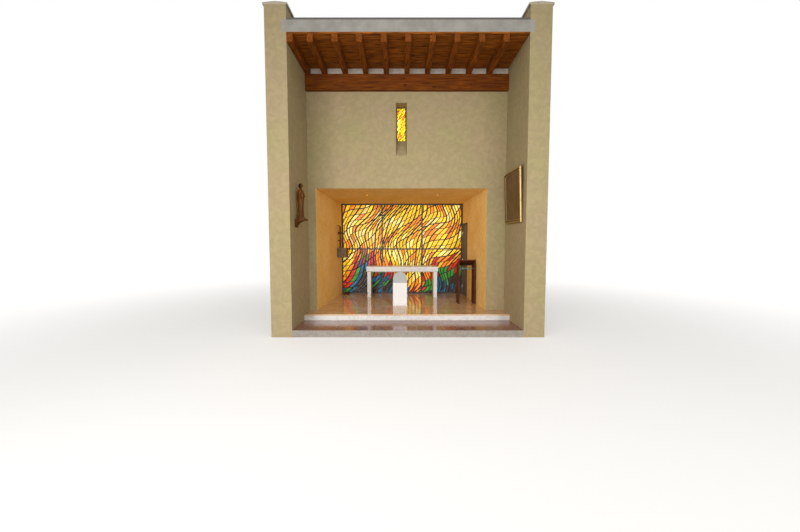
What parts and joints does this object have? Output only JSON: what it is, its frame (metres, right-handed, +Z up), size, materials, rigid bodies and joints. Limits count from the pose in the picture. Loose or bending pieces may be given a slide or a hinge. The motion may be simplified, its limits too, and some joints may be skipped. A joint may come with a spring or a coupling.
{
  "type": "chapel altar end",
  "caption": "Altar end of a small chapel: end wall with a window-backed altar recess, slot window, side door, platform and timber ceiling.",
  "frame": {"origin": "on the ground under the middle of the whole piece's box, halfway across the nave", "axes": "+X to the right across the nave seen from the pews, +Y from the nave towards the leaded window, +Z up"},
  "size_m": [5.96, 4.972, 6.961],
  "materials": {
    "wall_plaster": "trowelled lime stucco",
    "recess_plaster": "smooth painted plaster",
    "concrete": "rendered concrete",
    "granite": "polished",
    "brown_stone": "polished",
    "white_marble": "polished",
    "timber": "stained and waxed",
    "lime_infill": "lime plaster",
    "roofing_felt": "mineral felt",
    "coping_stone": "sawn stone",
    "zinc": "folded zinc sheet",
    "dark_steel": "satin dark paint",
    "leaded_glass": "coloured leaded glass",
    "door_paint": "satin dark paint",
    "door_frame_paint": "satin dark paint",
    "satin_steel": "satin",
    "pewter": "hammered grey metal",
    "dark_wood": "oiled",
    "wax": "wax",
    "shelf_glass": "clear float glass",
    "white_board": "satin white lacquer",
    "grey_board": "satin grey lacquer",
    "lamp_metal": "white lacquer",
    "carved_wood": "carved and waxed",
    "gilt_wood": "worn gilding",
    "picture_board": "varnished bare ground"
  },
  "bodies": {
    "chapel_end": {"altar_candle": "wax", "altar_legs": "white_marble", "altar_table": "white_marble", "candle_stand": "pewter", "ceiling_boards": "timber", "ceiling_joists": "timber", "display_panel": "grey_board", "display_stand": "white_board", "door_hinge_pins": "satin_steel", "downlights": "lamp_metal", "end_coping": "coping_stone", "end_wall_left_pier": "wall_plaster", "end_wall_right_pier": "wall_plaster", "end_wall_upper": "wall_plaster", "joist_infill": "lime_infill", "lectern": "dark_wood", "lectern_shelf": "shelf_glass", "left_coping": "coping_stone", "left_side_wall": "wall_plaster", "nave_floor": "granite", "picture_frame": "gilt_wood", "picture_panel": "picture_board", "platform_floor": "brown_stone", "platform_riser": "white_marble", "recess_corner_pier": "recess_plaster", "recess_floor": "brown_stone", "recess_left_wall": "recess_plaster", "recess_right_wall": "recess_plaster", "recess_roof_sheet": "zinc", "recess_roof_slab": "concrete", "right_coping": "coping_stone", "right_side_wall": "wall_plaster", "roof_covering": "roofing_felt", "roof_slab": "concrete", "side_door_frame": "door_frame_paint", "slot_frame": "dark_steel", "slot_glass": "leaded_glass", "statue": "carved_wood", "statue_bracket": "carved_wood", "tabernacle": "pewter", "wall_cross": "dark_wood", "wall_over_door": "recess_plaster", "wall_plate": "timber", "window_frame": "dark_steel", "window_panels": "leaded_glass"},
    "side_door": {"side_door_leaf": "door_paint", "side_door_handles": "satin_steel", "door_hinge_barrels": "satin_steel"}
  },
  "joints": [
    {"name": "side_door_hinge", "type": "hinge", "parent": "chapel_end", "child": "side_door", "pos_m": [1.92, 2.1165, 1.45], "axis": [0, 0, -1], "range_deg": [0, 90]}
  ]
}
